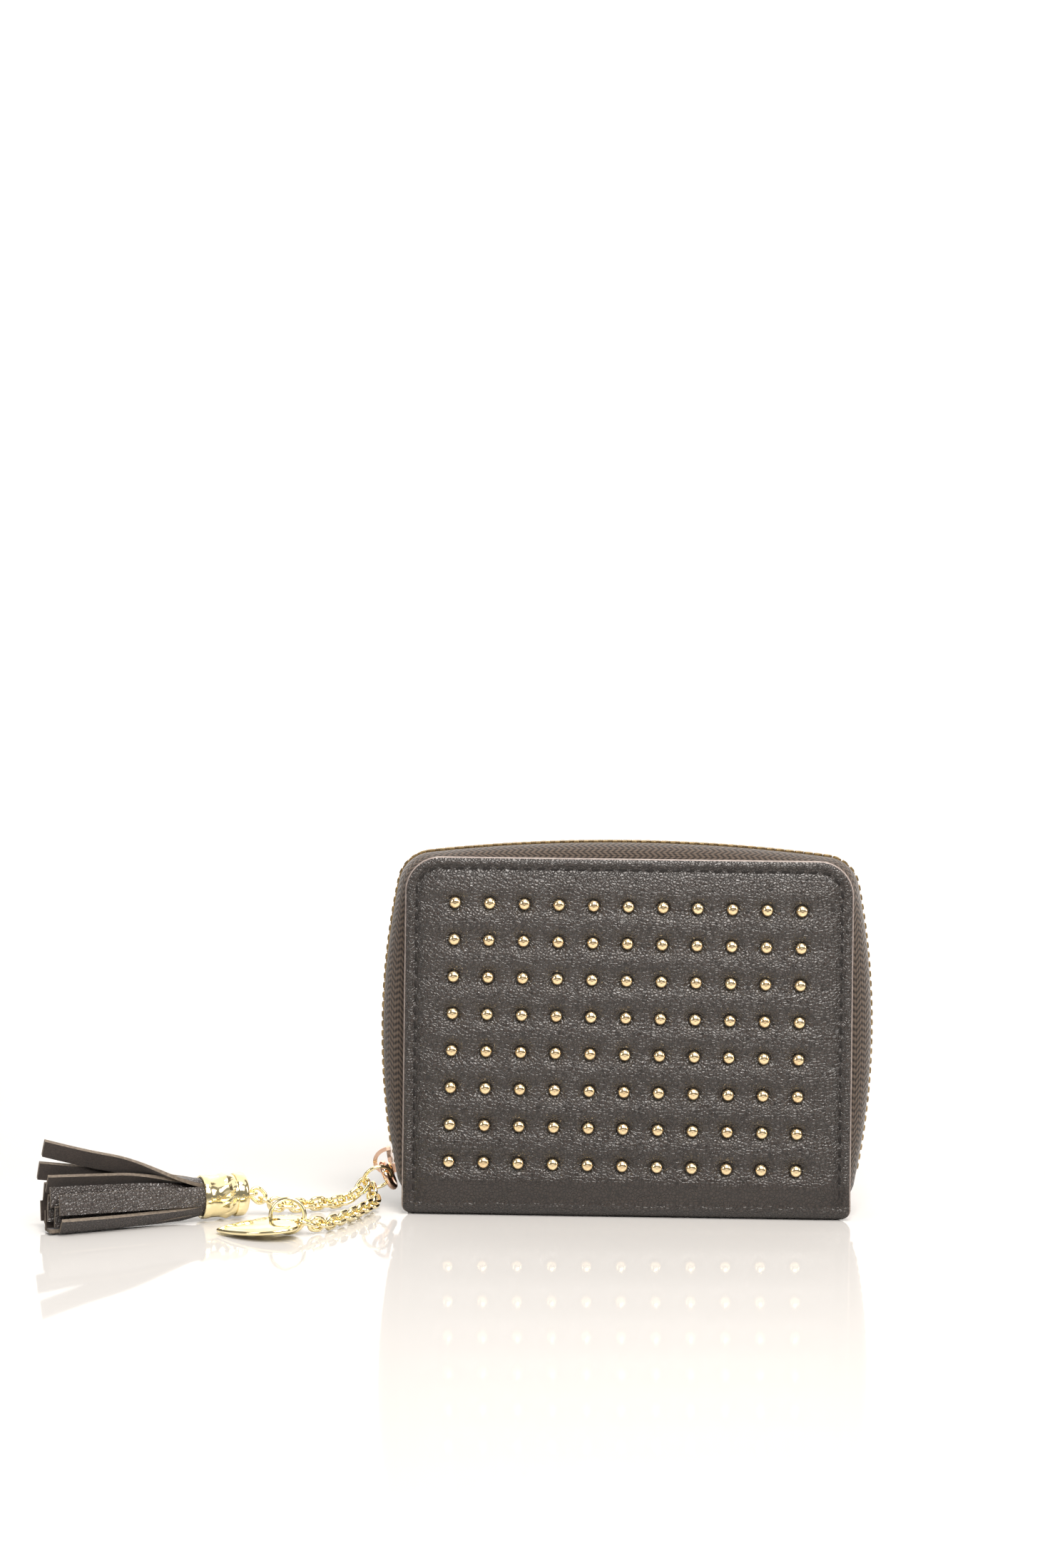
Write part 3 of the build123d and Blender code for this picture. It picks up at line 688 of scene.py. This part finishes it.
def make_teeth(name, side, phase, gap_low, gap_high):
    """A row of cast teeth: each a clamp on the tape's edge and a narrower head."""
    track = Track(zip_line())
    count = int(track.length / TOOTH_PITCH) - 1
    around = 12
    points, faces = [], []
    for index in range(count):
        place, along, out = track.at((index + FIRST_TOOTH + phase) * TOOTH_PITCH)
        if place.x < 0 and gap_low < place.y < gap_high:
            continue
        start = len(points)
        for y, half_along, half_out in TOOTH_SECTIONS:
            for k in range(around):
                angle = 2 * pi * (k + 0.5) / around
                c, s = cos(angle), sin(angle)
                grow = min(1 / max(abs(c), abs(s)), TOOTH_CORNER)
                p = place + along * c * grow * half_along + out * s * grow * half_out
                points.append((p.x, side * y, p.y))
        faces += lattice(len(TOOTH_SECTIONS), around, start, closed=True)
        faces.append(tuple(start + k for k in range(around)))
        end = start + (len(TOOTH_SECTIONS) - 1) * around
        faces.append(tuple(end + k for k in reversed(range(around))))
    if side < 0:
        faces = [tuple(reversed(face)) for face in faces]
    piece = mesh_piece(name, points, faces, [ZIP_METAL])
    crease(piece, 42)
    return piece


# -------------------------------------------------------------------- charm


HEART_COUNT = 30
HOLE_INSET, HOLE_RADIUS = 6.15, 1.35
HEART_TILT = radians(5.7)
HEART_LIFT = 0.75
FRONT_DOME, BACK_DOME, RIM_RADIUS = 1.15, 0.85, 0.52


def heart_outline():
    """A heart in its own plane: its tip at the origin, its lobes along +X."""
    first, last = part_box("charm")
    length = (last.x - first.x) / MM
    half = (last.y - first.y) / MM / 2
    tip, wide = Vector((0, 0, 0)), Vector((length * 0.70, half, 0))
    lobe, cleft = Vector((length, half * 0.47, 0)), Vector((length - 3.6, 0, 0))
    upper = [tip]
    for start, leave, arrive, end, count in (
        (tip, (length * 0.12, half * 0.42, 0), (length * 0.42, half, 0), wide, HEART_COUNT),
        (wide, (length * 0.88, half, 0), (length, half * 0.86, 0), lobe, HEART_COUNT // 2),
        (lobe, (length, half * 0.12, 0), (length - 1.2, half * 0.04, 0), cleft, HEART_COUNT // 2),
    ):
        upper += interpolate_bezier(start, Vector(leave), Vector(arrive), end, count)[1:]
    lower = [Vector((p.x, -p.y, 0)) for p in reversed(upper[1:-1])]
    return upper + lower, length


def make_charm():
    """A plump heart with a low rim, tipped so that its tip rests near the floor."""
    outline, length = heart_outline()
    centre = Vector((length * 0.58, 0, 0))
    rings = [0.0, 0.12, 0.25, 0.38, 0.5, 0.62, 0.73, 0.82, 0.88, 0.92, 0.955, 0.985, 1.0]
    points, faces = [], []
    count = len(outline)
    for up in (1, -1):
        start = len(points)
        for share in rings:
            full = FRONT_DOME if up > 0 else BACK_DOME
            dome = full * sqrt(max(1 - (share / 0.94) ** 2.4, 0.0))
            rim = 0.0
            if share > 0.9:
                rim = RIM_RADIUS * sqrt(max(1 - ((share - 0.95) / 0.055) ** 2, 0.0))
            z = up * max(dome + 0.3 * (share < 0.999), rim)
            for p in outline:
                q = centre.lerp(p, max(share, 0.004))
                points.append((q.x, q.y, z if share < 1 else 0.0))
        part = lattice(len(rings), count, start, closed=True)
        faces += part if up > 0 else [tuple(reversed(face)) for face in part]
        cap = tuple(start + k for k in range(count))
        faces.append(tuple(reversed(cap)) if up > 0 else cap)
    piece = mesh_piece("charm_heart", points, faces, [PALE_GOLD])
    bpy.context.view_layer.objects.active = piece
    hole_x = length - HOLE_INSET
    bpy.ops.mesh.primitive_cylinder_add(
        radius=HOLE_RADIUS * MM, depth=8 * MM, vertices=32, location=(hole_x * MM, 0, 0)
    )
    cutter = bpy.context.object
    weld = piece.modifiers.new("Weld", "WELD")
    weld.merge_threshold = 0.00001
    cut = piece.modifiers.new("Hole", "BOOLEAN")
    cut.object = cutter
    cut.operation = "DIFFERENCE"
    apply_modifiers(piece)
    bpy.data.objects.remove(cutter)
    low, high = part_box("charm")
    place = Matrix.Translation((low.x, (low.y + high.y) / 2, low.z + HEART_LIFT * MM))
    piece.data.transform(place @ Matrix.Rotation(-HEART_TILT, 4, "Y"))
    crease(piece, 50)
    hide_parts("charm")
    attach(piece, "charm")


def apply_modifiers(piece):
    """Turns the piece into its own modified mesh."""
    depsgraph = bpy.context.evaluated_depsgraph_get()
    mesh = bpy.data.meshes.new_from_object(piece.evaluated_get(depsgraph))
    piece.modifiers.clear()
    piece.data = mesh
    mesh.polygons.foreach_set("use_smooth", [True] * len(mesh.polygons))


# ------------------------------------------------------------------- tassel

TASSEL_YAW = radians(27.0)
CAP_CENTRE = Vector((-99.23, -20.87, 5.75))
CAP_LENGTH = 11.4
TASSEL_ALONG = Vector((-cos(TASSEL_YAW), -sin(TASSEL_YAW), 0))
TASSEL_SIDE = Vector((sin(TASSEL_YAW), -cos(TASSEL_YAW), 0))
UP = Vector((0, 0, 1))

# The cap's outline, from its chain end over the mouth and back inside: (along, radius)
CAP_SECTIONS = [
    (-5.7, 0.0), (-5.7, 4.3), (-5.55, 4.75), (-5.2, 5.15), (-4.8, 5.3), (-3.0, 5.3),
    (-2.75, 5.15), (-2.7, 4.85), (-2.4, 4.85), (-2.35, 5.0), (-2.1, 5.04), (-1.2, 5.06),
    (-0.3, 5.06), (0.6, 5.06), (1.5, 5.06), (3.6, 5.12), (4.0, 5.3), (5.3, 5.3),
    (5.6, 5.15), (5.7, 4.9), (5.5, 4.6), (2.0, 4.6), (-4.6, 4.6),
]
DIAMOND_CENTRE, DIAMOND_HALF_LENGTH, DIAMOND_HEIGHT = -0.3, 1.8, 0.62
DIAMOND_FIRST_RING, DIAMOND_RINGS, DIAMOND_SPAN = 10, 4, 6


def make_cap():
    """The turned cap: a rolled mouth, a band of raised diamonds, a groove and a collar."""
    around = 48
    points = []
    for ring, (shift, radius) in enumerate(CAP_SECTIONS):
        for k in range(around):
            angle = 2 * pi * k / around
            bump = 0.0
            if DIAMOND_FIRST_RING <= ring <= DIAMOND_FIRST_RING + DIAMOND_RINGS:
                aside = abs((k % DIAMOND_SPAN) - DIAMOND_SPAN / 2) / (DIAMOND_SPAN / 2)
                away = abs(shift - DIAMOND_CENTRE) / DIAMOND_HALF_LENGTH
                bump = DIAMOND_HEIGHT * max(1 - aside - away, 0.0)
            arm = TASSEL_SIDE * cos(angle) + UP * sin(angle)
            points.append(tuple(CAP_CENTRE + TASSEL_ALONG * shift + arm * (radius + bump)))
    faces = [tuple(reversed(face)) for face in lattice(len(CAP_SECTIONS), around, closed=True)]
    piece = mesh_piece("tassel_cap_body", points, faces, [PALE_GOLD])
    for face in piece.data.polygons:
        ring = face.index // around
        if DIAMOND_FIRST_RING <= ring < DIAMOND_FIRST_RING + DIAMOND_RINGS:
            face.use_smooth = False
    crease(piece, 33)
    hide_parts("tassel_cap")
    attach(piece, "tassel")


# Each strip: its angle and radius at the cap; its side, height and tilt at the free end;
# its sag and its length
STRIPS = [
    (12, 4.2, 6.0, 7.4, 8, 0.0, 36.0),
    (-20, 3.5, 3.9, 4.3, -4, 0.0, 36.6),
    (-50, 4.1, 5.5, 2.0, -38, 0.3, 35.6),
    (100, 3.9, -1.0, 11.4, 148, 0.0, 37.4),
    (84, 4.2, -1.6, 19.9, 146, 1.3, 38.2),
    (124, 4.2, -4.6, 14.1, 152, 0.6, 38.6),
    (165, 3.9, -5.6, 8.6, 165, 0.0, 37.0),
    (200, 4.1, -5.8, 4.2, 190, 0.0, 37.6),
    (236, 3.8, -3.8, 1.6, 245, 0.2, 37.0),
    (282, 4.0, 1.6, 0.9, 272, 0.2, 37.8),
    (44, 2.3, 2.6, 8.8, 14, 0.0, 37.4),
    (-10, 1.6, 1.9, 5.4, 4, 0.0, 37.8),
    (150, 2.2, -2.4, 6.2, 168, 0.0, 36.8),
    (270, 2.0, 0.4, 3.0, 190, 0.0, 38.0),
]
STRIP_WIDTH = 4.8
STRIP_THICKNESS = 0.9
STRIP_ROOT = 4.6
STRIP_BEND = 4.2
FLOOR_CLEARANCE = 0.12


def strip_point(strip, share, across, lift):
    """A point of a strip: along it, across it from -1 to 1, and above its middle."""
    angle, radius, end_side, end_height, end_tilt, sag, length = strip
    travel = CAP_LENGTH / 2 - STRIP_ROOT + (length + STRIP_ROOT) * share
    leave = STRIP_ROOT / (length + STRIP_ROOT)
    spread = max(share - leave, 0.0) / (1 - leave)
    open_out = smoothstep(0.0, 0.55, spread)
    a = radians(angle)
    near = Vector((cos(a), sin(a))) * radius
    far = Vector((end_side, end_height - CAP_CENTRE.z))
    middle = near.lerp(far, 0.25 * smoothstep(0.0, 0.6, spread) + 0.75 * spread)
    middle.y -= sag * sin(pi * spread)
    tilt = radians(angle + (end_tilt - angle) * open_out)
    normal = Vector((cos(tilt), sin(tilt)))
    tangent = Vector((-normal.y, normal.x))
    half = STRIP_WIDTH / 2 * across
    bend_radius = STRIP_BEND + 60 * open_out
    turn = half / bend_radius
    offset = tangent * bend_radius * sin(turn) - normal * bend_radius * (1 - cos(turn))
    flat = middle + offset + normal * lift
    point = CAP_CENTRE + TASSEL_ALONG * travel + TASSEL_SIDE * flat.x + UP * flat.y
    point.z = max(point.z, FLOOR_CLEARANCE + (lift + STRIP_THICKNESS / 2) * 0.5)
    return tuple(point)


def make_strip(index, strip):
    """One leather strip of the fringe: grain outside, suede inside, pale cut edges."""
    rows, columns = 40, 9
    half = STRIP_THICKNESS / 2
    points, faces, kinds = [], [], []
    for lift in (half, -half):
        for row in range(rows):
            for column in range(columns):
                across = 2 * column / (columns - 1) - 1
                points.append(strip_point(strip, row / (rows - 1), across, lift))
    outer = lattice(rows, columns)
    inner = [tuple(reversed(face)) for face in lattice(rows, columns, rows * columns)]
    faces += outer + inner
    kinds += [0] * len(outer) + [1] * len(inner)
    under = rows * columns
    border = [row * columns for row in range(rows)]
    border += [(rows - 1) * columns + k for k in range(1, columns)]
    border += [row * columns + columns - 1 for row in reversed(range(rows - 1))]
    border += [k for k in reversed(range(1, columns - 1))]
    for a, b in zip(border, border[1:] + border[:1]):
        faces.append((b, a, a + under, b + under))
        kinds.append(2)
    materials = [STRIP_LEATHER, STRIP_SUEDE, STRIP_EDGE]
    piece = mesh_piece(f"tassel_strip_{index + 1:02d}", points, faces, materials, kinds)
    crease(piece, 55)
    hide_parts("tassel_fringe")
    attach(piece, "tassel")


# -------------------------------------------------------------------- build


def make_covers():
    front = make_shell("front_shell", -1, True, 0.62)
    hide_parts("front_leather", "front_fold", "spine_leather")
    back = make_shell("back_shell", 1, False, 0.9)
    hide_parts("back_leather", "back_fold", "spine_leather")
    for name, side, studded, body in (
        ("front", -1, True, "front_cover"),
        ("back", 1, False, "back_cover"),
    ):
        thread = make_thread(f"{name}_thread", side, studded)
        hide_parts(f"{name}_stitches")
        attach(thread, body)


def make_zip():
    for name, side, phase, gap, body in (
        ("front", -1, 0.0, (6.8, 17.3), "front_cover"),
        ("back", 1, 0.5, (0.0, 0.0), "back_cover"),
    ):
        tape = make_tape(f"{name}_tape", side)
        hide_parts(f"{name}_zip_tape")
        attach(tape, body)
        teeth = make_teeth(f"{name}_teeth", side, phase, *gap)
        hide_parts(f"{name}_zip_teeth")
        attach(teeth, body)


def finish_nodes():
    """Materials for the CAD nodes that show as they are."""
    paint_nodes(STUD_GOLD, "front_studs")
    paint_nodes(ROSE_GOLD, "zip_slider", "pull_ring", "coin_zip_slider", "coin_zip_pull")
    paint_nodes(PALE_GOLD, "jump_ring", "charm_ring", "tassel_eye")
    for strand in ("tassel", "charm"):
        paint_nodes(PALE_GOLD, f"{strand}_chain_near", f"{strand}_chain_far")
    paint_nodes(ZIP_METAL, "zip_end_stops", "coin_zip_teeth", "coin_zip_stops")
    paint_nodes(LINING, "front_lining", "back_lining", "spine_lining", "coin_pocket")
    paint_nodes(FOAM, "front_foam", "back_foam")
    paint_nodes(BOARD, "front_board", "back_board", "spine_board")
    paint_nodes(THREAD, "coin_zip_tapes")
    paint_nodes(STRIP_LEATHER, "card_pocket_1", "card_pocket_2", "card_pocket_3")


FLOOR_DARK, FLOOR_LIGHT = (0.535, 0.525, 0.515), (0.555, 0.545, 0.535)
FLOOR_FRONT, FLOOR_BACK, FLOOR_HALF_WIDTH = -2.5, 0.9, 3.0
SWEEP_RADIUS, SWEEP_STEPS, WALL_TOP = 0.5, 16, 3.0


def make_stage():
    """A pale glossy floor that sweeps up behind the wallet."""
    n = Nodes("Floor")
    drift = n.add("TexNoise", {"Vector": n.place(), "Scale": 3.0, "Detail": 2.0}).outputs["Fac"]
    tone = n.mix(n.ramp(drift, [(0.3, 0.0), (0.7, 1.0)]), FLOOR_DARK, FLOOR_LIGHT)
    material = n.set(Base_Color=tone, Roughness=0.05, Specular_IOR_Level=0.2)
    rows = [(FLOOR_FRONT, 0.0), (-0.6, 0.0), (FLOOR_BACK, 0.0)]
    for k in range(1, SWEEP_STEPS + 1):
        angle = pi / 2 * k / SWEEP_STEPS
        rows.append((FLOOR_BACK + SWEEP_RADIUS * sin(angle), SWEEP_RADIUS * (1 - cos(angle))))
    rows.append((FLOOR_BACK + SWEEP_RADIUS, WALL_TOP))
    sides = (-FLOOR_HALF_WIDTH, FLOOR_HALF_WIDTH)
    points = [(x / MM, y / MM, z / MM) for y, z in rows for x in sides]
    floor = mesh_piece("floor", points, lattice(len(rows), 2), [material])


# Each light: name, place, target, size, power in watts, colour
LIGHTS = [
    ("Key", (0.22, -0.72, 0.72), (0, 0, 0.05), (0.8, 0.42), 12, (1.0, 0.95, 0.90)),
    ("Top", (0.10, -0.36, 0.95), (0, 0, 0.05), (0.30, 0.16), 5.5, (1.0, 0.96, 0.92)),
    ("Side", (-0.85, -0.55, 0.45), (0, 0, 0.04), (0.3, 0.5), 2.4, (1.0, 0.97, 0.94)),
    ("Fill", (0.95, -0.25, 0.5), (0, 0, 0.05), (0.3, 0.5), 2.6, (1.0, 0.95, 0.88)),
    ("Overhead", (0.0, 0.35, 1.5), (0, 0.2, 0), (2.4, 1.6), 12, (1.0, 0.985, 0.96)),
    ("Backdrop", (0.0, 0.5, 1.25), (0, 1.5, 0.9), (2.4, 0.6), 45, (1.0, 0.995, 0.98)),
]
WORLD_COLOUR, WORLD_STRENGTH = (1.0, 0.97, 0.94, 1), 0.24


def area_light(name, place, target, size, power, colour):
    light = bpy.data.lights.new(name, "AREA")
    light.shape = "RECTANGLE"
    light.size, light.size_y = size
    light.energy = power
    light.color = colour
    lamp = bpy.data.objects.new(name, light)
    lamp.location = place
    aim = Vector(target) - Vector(place)
    lamp.rotation_euler = aim.to_track_quat("-Z", "Y").to_euler()
    bpy.context.scene.collection.objects.link(lamp)


def make_lights():
    world = bpy.data.worlds.new("Studio")
    world.use_nodes = True
    background = world.node_tree.nodes["Background"]
    background.inputs["Color"].default_value = WORLD_COLOUR
    background.inputs["Strength"].default_value = WORLD_STRENGTH
    bpy.context.scene.world = world
    bpy.context.scene.view_settings.view_transform = "Standard"
    for light in LIGHTS:
        area_light(*light)


CAMERA_PLACE = (-0.0271, -0.5535, 0.1076)
CAMERA_YAW, CAMERA_ROLL = radians(1.1), 0.012


def make_camera():
    """The view: level, a little to the left of the middle and above the wallet."""
    camera = bpy.data.objects.new("Camera", bpy.data.cameras.new("Camera"))
    camera.data.lens = 50
    camera.data.sensor_width = 36
    yaw = Matrix.Rotation(CAMERA_YAW, 4, "Z")
    place = Matrix.Translation(CAMERA_PLACE)
    level = Matrix.Rotation(pi / 2, 4, "X") @ Matrix.Rotation(CAMERA_ROLL, 4, "Z")
    camera.matrix_world = yaw @ place @ level
    bpy.context.scene.collection.objects.link(camera)
    bpy.context.scene.camera = camera


make_covers()
make_zip()
make_charm()
make_cap()
for number, strip in enumerate(STRIPS):
    make_strip(number, strip)
finish_nodes()
make_stage()
make_lights()
make_camera()
